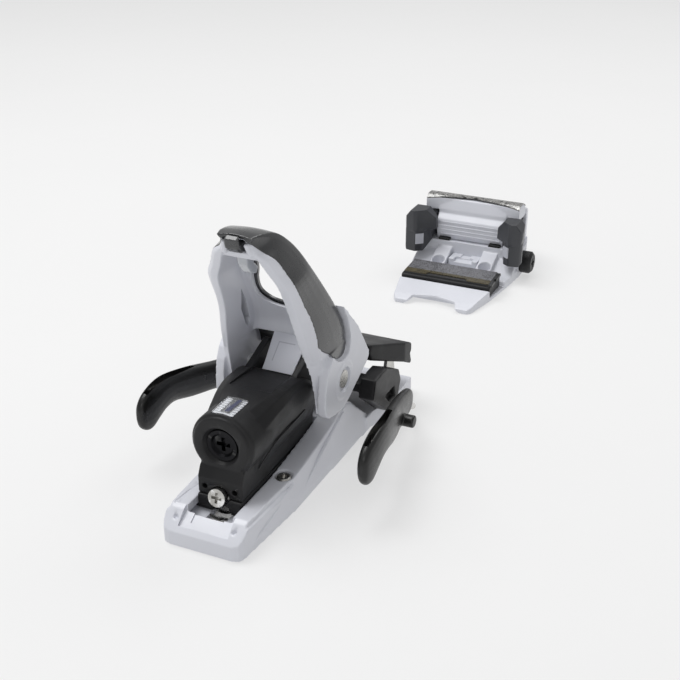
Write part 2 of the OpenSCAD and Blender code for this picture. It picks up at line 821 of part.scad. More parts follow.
module toe_knob() {
    color("black") difference() {
        union() {
            tube_x(knob_d / 2, 47, 54, knob_y, knob_z);
            translate([54, knob_y, knob_z]) rotate([0, 90, 0])
                cylinder(r1 = knob_d / 2, r2 = knob_d / 2 - 2, h = 2);
            tube_x(8.4, 40, 47.1, knob_y, knob_z);
        }
        translate([56, knob_y, knob_z]) rotate([0, 90, 0]) cross_slot(8, 2.5);
        tube_x(3.98, 38, 46, knob_y, knob_z);
    }
}

module toe_screw() {
    color("silver") tube_x(3.96, -8, 46, knob_y, knob_z);
}

module toe_spring() {
    color("silver") translate([-31, knob_y, knob_z]) rotate([0, 90, 0]) spring_sleeve(8.1, 2.6, 9, 44.8);
}

module toe_nut() {
    color("navy") difference() {
        union() {
            tube_x(8.3, 14, 19.6, knob_y, knob_z);
            block([14.6, 1, 14], [19, 5, 47.4]);
            block([14.6, 1, 44], [19, 20, 47.4]);
        }
        tube_x(3.96 + run, 10, 40, knob_y, knob_z);
    }
}

heel_base();
heel_rack();
heel_screws();
wire_clips();
brake_block();
pedal_bracket();
pedal_pin();
carriage_foot();
heel_housing();
front_panel();
scale_card();
scale_window();
release_spring();
cam_piston();
lever_axle();
axle_caps();
length_screw();
release_screw();
release_nut();
lever_frame();
lever_cover();
lever_grip();
lever_clip();
heel_lip();
brake_wires();
brake_paddles();
brake_pedal();
toe_base();
toe_housing();
toe_roof();
toe_bumpers();
wing_pins();
height_block();
afd_carrier();
toe_scale_card();
toe_window();
left_wing();
left_inlay();
right_wing();
right_inlay();
afd_slide();
afd_front_strip();
afd_rear_strip();
afd_latch();
toe_knob();
toe_screw();
toe_spring();
toe_nut();
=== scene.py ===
"""Alpine ski binding, toe and heel piece, in a pale studio."""
import json
import math

import bmesh
import bpy
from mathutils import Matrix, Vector


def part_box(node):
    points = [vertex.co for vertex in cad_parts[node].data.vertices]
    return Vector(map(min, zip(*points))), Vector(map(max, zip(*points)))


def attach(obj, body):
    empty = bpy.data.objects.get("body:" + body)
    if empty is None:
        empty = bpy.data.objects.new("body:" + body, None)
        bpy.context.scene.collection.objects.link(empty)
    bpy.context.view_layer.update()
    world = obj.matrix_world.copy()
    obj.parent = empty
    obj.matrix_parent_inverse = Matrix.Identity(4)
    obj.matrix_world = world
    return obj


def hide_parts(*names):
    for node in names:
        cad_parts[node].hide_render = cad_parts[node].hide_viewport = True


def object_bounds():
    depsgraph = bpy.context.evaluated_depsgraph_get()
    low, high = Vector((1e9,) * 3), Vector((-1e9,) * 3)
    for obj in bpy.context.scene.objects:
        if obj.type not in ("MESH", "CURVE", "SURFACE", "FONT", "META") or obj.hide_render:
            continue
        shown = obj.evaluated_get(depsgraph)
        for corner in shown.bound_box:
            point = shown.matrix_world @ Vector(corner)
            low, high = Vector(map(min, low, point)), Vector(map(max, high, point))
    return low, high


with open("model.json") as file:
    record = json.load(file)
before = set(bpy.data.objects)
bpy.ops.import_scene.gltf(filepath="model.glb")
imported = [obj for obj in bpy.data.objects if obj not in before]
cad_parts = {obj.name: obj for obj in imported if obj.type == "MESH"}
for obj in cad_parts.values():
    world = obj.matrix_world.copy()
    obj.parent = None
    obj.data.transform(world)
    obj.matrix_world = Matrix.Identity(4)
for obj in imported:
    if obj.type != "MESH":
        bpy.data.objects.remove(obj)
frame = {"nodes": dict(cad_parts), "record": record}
cad_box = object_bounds()

MM = 0.001
# The heel piece's tail, from which its points are measured
HEEL_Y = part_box("heel_base")[0][1]
# Height of the spring barrel's axis, and place of the lever's pivot, in millimetres
BARREL_Z = 53.5
PIVOT_Y = 112
PIVOT_Z = 63.6
TICKS_PER_METRE = 420.0

# ---------------------------------------------------------------- materials


class Shader:
    """A Principled material whose inputs are built up from procedural nodes."""

    def __init__(self, name, **values):
        self.material = bpy.data.materials.new(name)
        self.material.use_nodes = True
        self.tree = self.material.node_tree
        self.bsdf = self.tree.nodes["Principled BSDF"]
        self.coords = self.node("ShaderNodeTexCoord").outputs["Object"]
        for key, value in values.items():
            self.bsdf.inputs[key].default_value = value

    def node(self, kind, **settings):
        made = self.tree.nodes.new(kind)
        for key, value in settings.items():
            setattr(made, key, value)
        return made

    def link(self, source, target):
        self.tree.links.new(source, target)

    def noise(self, scale, detail=3.0, roughness=0.5, stretch=(1, 1, 1)):
        mapping = self.node("ShaderNodeMapping")
        mapping.inputs["Scale"].default_value = stretch
        self.link(self.coords, mapping.inputs["Vector"])
        texture = self.node("ShaderNodeTexNoise")
        texture.inputs["Scale"].default_value = scale
        texture.inputs["Detail"].default_value = detail
        texture.inputs["Roughness"].default_value = roughness
        self.link(mapping.outputs["Vector"], texture.inputs["Vector"])
        return texture.outputs["Fac"]

    def cells(self, scale):
        """Distance to the nearest of many scattered points."""
        texture = self.node("ShaderNodeTexVoronoi")
        texture.inputs["Scale"].default_value = scale
        self.link(self.coords, texture.inputs["Vector"])
        return texture.outputs["Distance"]

    def ramp(self, value, *stops):
        """Colour from a value, by (place, colour) stops."""
        made = self.node("ShaderNodeValToRGB")
        made.color_ramp.interpolation = "EASE"
        elements = made.color_ramp.elements
        while len(elements) < len(stops):
            elements.new(0.5)
        for element, (place, colour) in zip(elements, stops):
            element.position = place
            element.color = (*colour, 1.0)
        self.link(value, made.inputs["Fac"])
        return made.outputs["Color"]

    def span(self, value, low, high, start=0.0, end=1.0):
        """Maps start..end onto low..high."""
        made = self.node("ShaderNodeMapRange")
        for key, number in (("From Min", start), ("From Max", end), ("To Min", low), ("To Max", high)):
            made.inputs[key].default_value = number
        self.link(value, made.inputs["Value"])
        return made.outputs["Result"]

    def math(self, operation, first, second):
        made = self.node("ShaderNodeMath", operation=operation)
        for place, value in enumerate((first, second)):
            if isinstance(value, (int, float)):
                made.inputs[place].default_value = value
            else:
                self.link(value, made.inputs[place])
        return made.outputs["Value"]

    def edge_wear(self):
        """1 on sharp convex edges, 0 on flats."""
        geometry = self.node("ShaderNodeNewGeometry")
        return self.span(geometry.outputs["Pointiness"], 0.0, 1.0, 0.53, 0.62)

    def mix(self, factor, first, second):
        """Mixes two colours; the Mix node keeps its colour sockets at 6, 7 and output 2."""
        made = self.node("ShaderNodeMix", data_type="RGBA")
        self.link(factor, made.inputs[0])
        for place, value in ((6, first), (7, second)):
            if isinstance(value, tuple):
                made.inputs[place].default_value = (*value, 1.0)
            else:
                self.link(value, made.inputs[place])
        return made.outputs[2]

    def bump(self, height, distance, strength=1.0, after=None):
        made = self.node("ShaderNodeBump")
        made.inputs["Strength"].default_value = strength
        made.inputs["Distance"].default_value = distance
        self.link(height, made.inputs["Height"])
        if after is not None:
            self.link(after, made.inputs["Normal"])
        return made.outputs["Normal"]

    def set(self, name, value):
        self.link(value, self.bsdf.inputs[name])


def moulded(name, base, variation, roughness, grain_scale, grain_depth, coat=0.0, wear=0.06, shine=0.5):
    """Injection-moulded plastic: mottled tone, fine grain, slightly lighter edges."""
    shader = Shader(name, **{"Coat Weight": coat, "Coat Roughness": 0.12, "Specular IOR Level": shine})
    tone = shader.noise(26.0, 3.0)
    dark = tuple(max(0.0, c - variation) for c in base)
    light = tuple(min(1.0, c + variation) for c in base)
    colour = shader.ramp(tone, (0.3, dark), (0.7, light))
    edge = tuple(min(1.0, c + wear) for c in base)
    shader.set("Base Color", shader.mix(shader.edge_wear(), colour, edge))
    smears = shader.noise(60.0, 5.0, 0.65)
    shader.set("Roughness", shader.span(smears, roughness - 0.05, roughness + 0.08, 0.3, 0.7))
    grain = shader.bump(shader.noise(grain_scale, 4.0, 0.6), grain_depth, 0.5)
    shader.set("Normal", shader.bump(shader.noise(170.0, 2.0), 0.00006, 0.5, grain))
    return shader.material


def plated(name, base, roughness, stretch=(1, 1, 1), worn=(0.9, 0.9, 0.9)):
    """Metal with fine scratches, cloudy tone and brighter worn edges."""
    shader = Shader(name, Metallic=1.0)
    cloud = shader.noise(60.0, 3.0, 0.5)
    dark = tuple(c * 0.72 for c in base)
    colour = shader.ramp(cloud, (0.3, dark), (0.7, base))
    shader.set("Base Color", shader.mix(shader.edge_wear(), colour, worn))
    lines = shader.noise(900.0, 3.0, 0.7, stretch)
    shader.set("Roughness", shader.span(lines, roughness - 0.08, roughness + 0.14, 0.25, 0.75))
    shader.set("Normal", shader.bump(lines, 0.00003, 0.5))
    return shader.material


def marbled_film():
    """Glossy film printed with a silver and black marbled pattern."""
    shader = Shader("patterned_film", **{"Roughness": 0.24, "Coat Weight": 0.3, "Coat Roughness": 0.12})
    flow = shader.noise(260.0, 6.0, 0.7, (1.0, 1.4, 1.0))
    veins = shader.ramp(flow, (0.34, (0.01, 0.01, 0.01)), (0.44, (0.04, 0.04, 0.04)),
                        (0.50, (0.46, 0.455, 0.44)), (0.55, (0.03, 0.03, 0.03)), (0.62, (0.55, 0.545, 0.53)))
    shader.set("Base Color", veins)
    shader.set("Metallic", shader.span(flow, 0.1, 0.3, 0.35, 0.65))
    shader.set("Normal", shader.bump(flow, 0.00005, 0.3))
    return shader.material


def speckled_strip(name, low, high, metallic, scale):
    """Low-friction coating with raised metal speckles."""
    shader = Shader(name, Metallic=metallic)
    specks = shader.cells(scale)
    blotches = shader.noise(220.0, 4.0, 0.7)
    mixed = shader.math("ADD", shader.math("MULTIPLY", specks, 0.6), shader.math("MULTIPLY", blotches, 0.5))
    shader.set("Base Color", shader.ramp(mixed, (0.42, low), (0.56, high)))
    shader.set("Roughness", shader.span(blotches, 0.28, 0.5, 0.3, 0.7))
    shader.set("Normal", shader.bump(specks, 0.00012, 0.6))
    return shader.material


def clear_plastic():
    shader = Shader("clear_plastic", **{"Base Color": (0.93, 0.95, 0.97, 1), "IOR": 1.45, "Alpha": 0.25,
                                        "Transmission Weight": 0.6})
    smears = shader.noise(90.0, 4.0)
    shader.set("Roughness", shader.span(smears, 0.03, 0.14, 0.3, 0.7))
    shader.set("Normal", shader.bump(smears, 0.00002, 0.2))
    return shader.material


def printed_card():
    """White scale print with fine dark ticks."""
    shader = Shader("card_print")
    split = shader.node("ShaderNodeSeparateXYZ")
    shader.link(shader.coords, split.inputs["Vector"])
    ticks = shader.math("FRACT", shader.math("MULTIPLY", split.outputs["Y"], TICKS_PER_METRE), 0.0)
    paper = shader.ramp(shader.noise(300.0), (0.3, (0.80, 0.82, 0.86)), (0.7, (0.92, 0.93, 0.95)))
    mark = shader.span(ticks, 0.0, 1.0, 0.72, 0.74)
    shader.set("Base Color", shader.mix(mark, paper, (0.03, 0.035, 0.07)))
    shader.set("Roughness", shader.span(shader.noise(200.0), 0.35, 0.5))
    shader.set("Normal", shader.bump(ticks, 0.00002, 0.3))
    return shader.material


MATERIALS = {
    "white_plastic": moulded("white_plastic", (0.66, 0.672, 0.725), 0.012, 0.34, 900.0, 0.00003,
                             coat=0.15, wear=0.05),
    "black_plastic": moulded("black_plastic", (0.013, 0.013, 0.014), 0.004, 0.42, 1400.0, 0.00007,
                             wear=0.02, shine=0.28),
    "grey_gloss": moulded("grey_gloss", (0.035, 0.036, 0.038), 0.006, 0.26, 700.0, 0.00002,
                          coat=0.5, wear=0.03),
    "wing_grey": moulded("wing_grey", (0.035, 0.037, 0.043), 0.006, 0.36, 1200.0, 0.00005, coat=0.1, wear=0.03),
    "light_inlay": moulded("light_inlay", (0.42, 0.43, 0.48), 0.01, 0.4, 1200.0, 0.00004),
    "rubber_black": moulded("rubber_black", (0.010, 0.010, 0.010), 0.003, 0.30, 1600.0, 0.00004,
                            wear=0.015, shine=0.4),
    "smoke_plastic": moulded("smoke_plastic", (0.42, 0.44, 0.47), 0.03, 0.14, 500.0, 0.00002, coat=0.8),
    "indicator_navy": moulded("indicator_navy", (0.012, 0.018, 0.07), 0.004, 0.3, 800.0, 0.00003),
    "zinc_steel": plated("zinc_steel", (0.62, 0.61, 0.58), 0.26),
    "black_steel": plated("black_steel", (0.02, 0.02, 0.022), 0.36, worn=(0.06, 0.06, 0.06)),
    "spring_steel": plated("spring_steel", (0.33, 0.33, 0.35), 0.34),
    "stainless_wire": plated("stainless_wire", (0.72, 0.70, 0.66), 0.18, (1, 0.2, 1)),
    "patterned_film": marbled_film(),
    "silver_strip": speckled_strip("silver_strip", (0.008, 0.008, 0.009), (0.20, 0.20, 0.215), 0.25, 1500.0),
    "bronze_strip": speckled_strip("bronze_strip", (0.008, 0.007, 0.005), (0.11, 0.092, 0.05), 0.25, 1500.0),
    "clear_plastic": clear_plastic(),
    "card_print": printed_card(),
}
SLOT_OF = {part["node"]: part["material_slot"] for part in frame["record"]["subparts"]}


def finish_with(piece, slot):
    """Gives a piece its slot's material."""
    piece.data.materials.clear()
    piece.data.materials.append(MATERIALS[slot])


def soften(piece, width, segments=2, angle=28):
    """Rounds a CAD node's edges with modifiers and leaves its mesh alone."""
    weld = piece.modifiers.new("weld", "WELD")
    weld.merge_threshold = 0.00002
    bevel = piece.modifiers.new("bevel", "BEVEL")
    bevel.width = width
    bevel.segments = segments
    bevel.limit_method = "ANGLE"
    bevel.angle_limit = math.radians(angle)
    bevel.harden_normals = False
    bevel.use_clamp_overlap = True


# ---------------------------------------------------------------- mesh helpers


def at(x, y, z):
    """A point in the heel piece's frame, in millimetres from its tail."""
    return Vector((x * MM, y * MM + HEEL_Y, z * MM))


def from_side(u, v, x):
    """Places an outline drawn in side view, u along the ski and v up."""
    return at(x, u, v)


def from_behind(u, v, y):
    """Places an outline drawn from behind, u to the right and v up."""
    return at(u, y, v)


def round_barrel(a, b, y):
    return at(a, y, BARREL_Z + b)


def round_pivot(a, b, x):
    return at(x, PIVOT_Y + a, PIVOT_Z + b)


def toe_at(x, y, z):
    """A point in the toe piece's frame, in millimetres from its screw pattern's centre."""
    return Vector((x, y, z)) * MM


def spline(points, steps):
    """Catmull-Rom curve through points of any dimension."""
    out = []
    ends = [points[0]] + list(points) + [points[-1]]
    for index in range(1, len(ends) - 2):
        p0, p1, p2, p3 = ends[index - 1:index + 3]
        for step in range(steps):
            t = step / steps
            out.append(tuple(
                0.5 * ((2 * b) + (c - a) * t + (2 * a - 5 * b + 4 * c - d) * t * t
                       + (3 * b - a - 3 * c + d) * t ** 3)
                for a, b, c, d in zip(p0, p1, p2, p3)))
    out.append(tuple(points[-1]))
    return out


def curve(points, steps):
    """A smooth path through points of the heel piece."""
    return [at(*point) for point in spline(points, steps)]


class Solid:
    """Collects closed shells in one mesh and turns them into a piece that rides on a body."""

    def __init__(self):
        self.bm = bmesh.new()

    def loft(self, rings):
        """Skins closed rings of points, all with the same count."""
        rows = [[self.bm.verts.new(point) for point in ring] for ring in rings]
        count = len(rows[0])
        for low, high in zip(rows, rows[1:]):
            for i in range(count):
                j = (i + 1) % count
                self.bm.faces.new((low[i], low[j], high[j], high[i]))
        self.bm.faces.new(rows[0][::-1])
        self.bm.faces.new(rows[-1])
        return self

    def prism(self, points, low, high, place):
        """An outline drawn at two depths; place(u, v, depth) gives the point."""
        return self.loft([[place(u, v, low) for u, v in points], [place(u, v, high) for u, v in points]])

    def lathe(self, profile, place, steps=64):
        """Turns (radius, along) points round an axis; place(a, b, along) gives the point."""
        rings = []
        for radius, along in profile:
            rings.append([place(radius * math.cos(2 * math.pi * i / steps),
                                radius * math.sin(2 * math.pi * i / steps), along) for i in range(steps)])
        return self.loft(rings)

    def tube(self, path, radius, sides):
        """Sweeps a circle along a path of points; radius is one value or one for each point."""
        rings = []
        normal = None
        for index, point in enumerate(path):
            ahead = path[min(index + 1, len(path) - 1)] - path[max(index - 1, 0)]
            ahead.normalize()
            if normal is None:
                normal = ahead.orthogonal().normalized()
            normal = (normal - ahead * normal.dot(ahead)).normalized()
            side = ahead.cross(normal)
            size = radius[index] if isinstance(radius, list) else radius
            rings.append([point + (normal * math.cos(2 * math.pi * i / sides)
                                   + side * math.sin(2 * math.pi * i / sides)) * size for i in range(sides)])
        return self.loft(rings)

    def mirror(self):
        """Adds the mirror image of everything made so far."""
        everything = self.bm.verts[:] + self.bm.edges[:] + self.bm.faces[:]
        copied = bmesh.ops.duplicate(self.bm, geom=everything)["geom"]
        faces = [item for item in copied if isinstance(item, bmesh.types.BMFace)]
        for item in copied:
            if isinstance(item, bmesh.types.BMVert):
                item.co.x = -item.co.x
        bmesh.ops.reverse_faces(self.bm, faces=faces)
        return self

    def to_object(self, name):
        bmesh.ops.recalc_face_normals(self.bm, faces=self.bm.faces[:])
        mesh = bpy.data.meshes.new(name)
        self.bm.to_mesh(mesh)
        self.bm.free()
        made = bpy.data.objects.new(name, mesh)
        bpy.context.scene.collection.objects.link(made)
        return made

    def piece(self, name, slot, body, hides=(), smooth=True):
        """Makes a visible piece that rides on a body and takes the place of the hidden nodes."""
        made = self.to_object(name)
        if smooth:
            made.data.polygons.foreach_set("use_smooth", [True] * len(made.data.polygons))
        finish_with(made, slot)
        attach(made, body)
        if hides:
            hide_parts(*hides)
        return made


def bake(piece):
    """Writes a piece's modifiers into its mesh."""
    graph = bpy.context.evaluated_depsgraph_get()
    result = bpy.data.meshes.new_from_object(piece.evaluated_get(graph))
    piece.modifiers.clear()
    piece.data = result


def carve(piece, solid):
    """Takes a solid out of a piece."""
    cutter = solid.to_object("cutter")
    cut = piece.modifiers.new("cut", "BOOLEAN")
    cut.operation = "DIFFERENCE"
    cut.solver = "MANIFOLD"
    cut.object = cutter
    bake(piece)
    bpy.data.objects.remove(cutter)


def melt(piece, voxel, rounds, keep=0.4):
    """Fuses a piece's shells, rounds them like a moulding and thins the mesh out."""
    remesh = piece.modifiers.new("remesh", "REMESH")
    remesh.mode = "VOXEL"
    remesh.voxel_size = voxel
    remesh.use_smooth_shade = True
    smooth = piece.modifiers.new("smooth", "SMOOTH")
    smooth.factor = 0.5
    smooth.iterations = rounds
    thin = piece.modifiers.new("thin", "DECIMATE")
    thin.ratio = keep


def shade_by_angle(piece, angle):
    """Keeps flat faces flat and curved ones smooth."""
    limit = math.cos(math.radians(angle))
    bm = bmesh.new()
    bm.from_mesh(piece.data)
    for face in bm.faces:
        face.smooth = True
    for edge in bm.edges:
        if len(edge.link_faces) == 2:
            edge.smooth = edge.link_faces[0].normal.dot(edge.link_faces[1].normal) > limit
    bm.to_mesh(piece.data)
    bm.free()


# ---------------------------------------------------------------- heel lever

# Border behind and corner in front of the dark cover, as (half width, y, z)
COVER_BORDER = [
    (33.5, 99, 85.6), (32.3, 88.5, 93), (31.5, 86.2, 102), (30.1, 82.4, 114), (29.1, 76.7, 124), (28, 69.2, 138),
    (24, 66, 147), (19.5, 61.6, 156.4), (13.4, 58.5, 161.2), (9.6, 54, 166.4), (8.4, 51.6, 168.2),
]
COVER_CORNER = [
    (34.2, 120.4, 84), (34.4, 120.8, 92), (34, 117.4, 100.6), (33, 110.4, 112.4), (31, 102, 125.4),
    (26.8, 93.6, 140.4), (22, 88.5, 151.6), (17.6, 83.4, 159.8), (14.4, 74.2, 167), (12.5, 60, 170.6),
    (10.5, 51.7, 170.7),
]
# The white arch's inner and outer rear edges and its front edge, as (half width, y, z) from the hinge up
ARCH_INNER = [
    (25.8, 84.6, 84), (24.2, 80.6, 93), (22.9, 77.9, 102), (21.1, 74.6, 114), (20.3, 70.8, 124), (19.1, 64.6, 138),
    (15, 61, 147), (11.2, 56.8, 156), (9, 54.8, 160), (6.6, 53.5, 165.5),
]
ARCH_OUTER = [
    (33.2, 91.5, 84), (32.3, 88.5, 93), (31.5, 86.2, 102), (30.1, 82.4, 114), (29.1, 76.7, 124), (28, 69.2, 138),
    (24, 66, 147), (19.5, 61.6, 156.4), (13.2, 58.5, 160.8), (9, 54, 166),
]
ARCH_FRONT = [
    (32.2, 118.4, 84), (32.4, 118.7, 92), (31.9, 115.6, 99.6), (31, 108.6, 111.3), (29, 100.3, 124.3),
    (24.8, 92, 139.3), (20, 86.8, 150), (15.6, 81.8, 158.2), (12.4, 73.4, 165.2), (10.4, 60, 168.6),
]


def cover_ring(border, corner, thick=2.0):
    """One closed ring of the cover: its outer face from border to middle, then its inner face back."""
    wb, yb, zb = border
    wf, yf, zf = corner
    side = Vector((wb - wf, yb - yf, zb - zf)).normalized()
    into = Vector((0, yb - yf, zb - zf)).normalized()
    outer = [Vector((wb, yb, zb))]
    for t in (0.25, 0.5, 0.75):
        bulge = 1.0 * math.sin(math.pi * t)
        outer.append(Vector((wb + (wf - wb) * t + bulge * 0.7, yb + (yf - yb) * t, zb + (zf - zb) * t)))
    round_by = 2.4
    outer.append(Vector((wf, yf, zf)) + side * round_by)
    outer.append(Vector((wf - 0.5, yf, zf)) + into * 0.5)
    outer.append(Vector((wf - round_by, yf, zf)))
    for t in (0.66, 0.33):
        rise = 1.0 * math.cos(t * math.pi / 2)
        outer.append(Vector(((wf - round_by) * t, yf, zf)) - into * rise)
    outer.append(Vector((0, yf, zf)) - into * 1.0)
    inner = []
    for index, point in enumerate(outer):
        if index < 4:
            inner.append(point + Vector((-thick, 0, 0)))
        elif index == 4:
            inner.append(point + Vector((-thick, 0, 0)) + into * 0.6)
        elif index == 5:
            inner.append(point + Vector((-thick + 0.5, 0, 0)) + into * (thick - 0.5))
        else:
            inner.append(point + into * thick)
    half = outer + inner[::-1]
    ring = half + [Vector((-p.x, p.y, p.z)) for p in half[::-1]]
    tidy = []
    for point in ring:
        if not tidy or (point - tidy[-1]).length > 1e-6:
            tidy.append(point)
    return [at(*p) for p in tidy]


def cover_mesh():
    """The dark cover over the arch, before its opening is cut."""
    borders = spline(COVER_BORDER, 5)
    corners = spline(COVER_CORNER, 5)
    solid = Solid().loft([cover_ring(b, c) for b, c in zip(borders, corners)])
    # tip that runs down round the boss
    tip = [(99, 85.6), (104.5, 80.6), (109, 78.4), (113.2, 77.5), (117, 78.4), (119.4, 80.6), (120.5, 84.4),
           (119, 87)]
    for side in (1, -1):
        solid.prism(tip, 32.2 * side, 34.6 * side, from_side)
    return solid


def window(half_widths):
    """The arch's see-through opening, from (height, half width) pairs, cut right through along the ski."""
    right = spline([(w, z) for z, w in half_widths], 6)
    outline = list(right) + [(-w, z) for w, z in right[::-1]]
    return Solid().prism(outline, 62, 135, from_behind)


def arch_ring(inner, outer, front):
    """One closed ring of the hollow arch: round the outside, then back along the inside."""
    wi, yi, zi = inner
    wo, yo, zo = outer
    wf, yf, zf = front
    into = Vector((0, yo - yf, zo - zf)).normalized()
    wall = 3.0
    strip = Vector((wi + (wo - wi) * 0.55, yi + (yo - yi) * 0.2, zi + (zo - zi) * 0.2))
    path = [Vector((wi, yi, zi)), strip, Vector((wo, yo, zo)), Vector((wf, yf, zf)) + into * 3,
            Vector((wf - 2.2, yf, zf)), Vector((wf * 0.45, yf, zf)) - into * 0.6, Vector((0, yf, zf)) - into * 0.8]
    depth = (Vector((0, yi, zi)) - Vector((0, yf, zf))).length
    wall = min(wall, depth * 0.4)
    corner = max(wi - 0.6, 1.0)
    back = [Vector((0, yf, zf)) + into * (wall - 0.8), Vector((corner * 0.5, yf, zf)) + into * (wall - 0.6),
            Vector((corner - 2.2, yf, zf)) + into * wall, Vector((corner, yf, zf)) + into * (wall + 2.2),
            Vector((wi - 0.2, yi, zi)) - into * 0.6]
    # the right half runs round, then the left half runs back
    ring = path + [Vector((-p.x, p.y, p.z)) for p in path[-2::-1]] \
        + [Vector((-p.x, p.y, p.z)) for p in back[::-1]] + back[1:]
    return [at(*p) for p in ring]


WING_OUTLINE = [
    (111, 112.6), (117.5, 106.6), (122.6, 101), (127, 97), (133, 90.6), (150, 66.4), (149.6, 63), (146.6, 60.2),
    (136, 55), (128, 51.4), (121, 47.6), (113, 45), (106, 44.8), (98, 45.8), (91, 47.2), (87.4, 50.6), (86.4, 56),
    (87.2, 66), (88.6, 73), (92, 80), (97.6, 84.8), (103.6, 79.6), (108.6, 77.4), (113.2, 76.6), (117.6, 77.6),
    (120.2, 80), (121.7, 84.4), (121.6, 90), (118.4, 100),
]


# Lower legs as (z, inner rear, outer rear, outer front, inner front), each corner as (x, y)
LEG_SECTIONS = [
    (45.4, (28.6, 97), (33.4, 99), (33.8, 112), (28.6, 112)),
    (48, (27.8, 92), (33.8, 94), (34.4, 119), (27.8, 119)),
    (57, (27.4, 90.5), (33.4, 94.5), (34.6, 125), (27, 125)),
    (70, (27.2, 88.4), (33.2, 93), (34.6, 124), (26.4, 123)),
    (78, (26.5, 85.8), (33.2, 91.8), (34.4, 121.6), (26, 120)),
    (86, (25.4, 82.8), (32.9, 89.4), (33.2, 118.6), (25.4, 117)),
    (91, (24.6, 81.2), (32.4, 88.6), (32.4, 117.2), (24.4, 115)),
]


def lever_arch():
    arch = Solid()
    for side in (1, -1):
        arch.loft([[at(side * x, y, z) for x, y in corners] for z, *corners in LEG_SECTIONS])
        arch.prism(WING_OUTLINE, 31.4 * side, 37.2 * side, from_side)
        arch.lathe([(12.2, 27 * side), (12.6, 37.0 * side), (11.6, 37.8 * side)], round_pivot)
        # low horns beside the tongue
        arch.tube([at(side * x, y, z) for x, y, z in ((8.4, 56.4, 158.6), (7.4, 54.2, 163), (6.6, 53, 166.4))],
                  0.0017, 12)
    # bar below the tongue
    arch.prism([(56.6, 159.4), (58.4, 155.4), (66, 154), (68, 159), (60.4, 162)], -12.4, 12.4, from_side)
    arch.loft([arch_ring(i, o, f) for i, o, f in
               zip(spline(ARCH_INNER, 4), spline(ARCH_OUTER, 4), spline(ARCH_FRONT, 4))])
    shell = arch.piece("arch_shell", "white_plastic", "heel_lever", ("lever_frame",))
    melt(shell, 0.00062, 3)
    bake(shell)
    carve(shell, window([(104.5, 1), (106.2, 9), (110.6, 14.8), (117, 16.6), (127, 15), (136, 12),
                         (146, 9.6), (154, 8), (158, 3), (158.6, 0.5)]))
    slot_shape = [(94.6, 120.6), (100.4, 112.4), (109, 95.7), (108.6, 89.6), (104.2, 93.9), (96.4, 106.8)]
    for side in (1, -1):
        carve(shell, Solid().prism(slot_shape, 14 * side, 32.2 * side, lambda u, v, x: at(x, u - 2.5, v)))
        carve(shell, Solid().lathe([(7.6, 36.4 * side), (8.4, 38.6 * side)],
                                   lambda a, b, x: at(x, PIVOT_Y + a, 63.8 + b)))
    shade_by_angle(shell, 50)


def lever_skin():
    skin = cover_mesh().piece("arch_cover", "grey_gloss", "heel_lever", ("lever_cover",))
    melt(skin, 0.0005, 2)
    bake(skin)
    carve(skin, window([(106.8, 0.5), (107.6, 4), (109.8, 10.4), (115.6, 14.8), (125, 13.6), (134, 10.4),
                        (145, 8.4), (154, 6.8), (157.6, 2.6), (158, 0.4)]))
    shade_by_angle(skin, 50)


# ---------------------------------------------------------------- heel housing

# (y, top, plateau half, shoulder half, shoulder z, waist half, waist z)
HOUSING_RINGS = [
    (40, 70, 9, 18, 58, 17, 44), (50, 72.4, 12, 20, 62, 17.6, 45.5), (58, 73.5, 14.4, 21, 64.6, 18.2, 46.2),
    (68, 73.6, 16, 22, 67, 19, 47), (80, 72.8, 16.5, 22.2, 68, 20, 48), (90, 71.6, 16.5, 23, 66, 20, 48),
    (98, 67, 15.6, 23, 62, 19.4, 47), (108, 60, 13.4, 20, 55, 18, 44), (116, 54, 12, 17.4, 49, 16.5, 42),
]


def screw_tunnel(a, b, along):
    """A point round the length screw's axis, which dips by 12 degrees towards the tail."""
    tilt = math.radians(12)
    return at(a, 20 + along * math.cos(tilt) + b * math.sin(tilt),
              24 - along * math.sin(tilt) + b * math.cos(tilt))


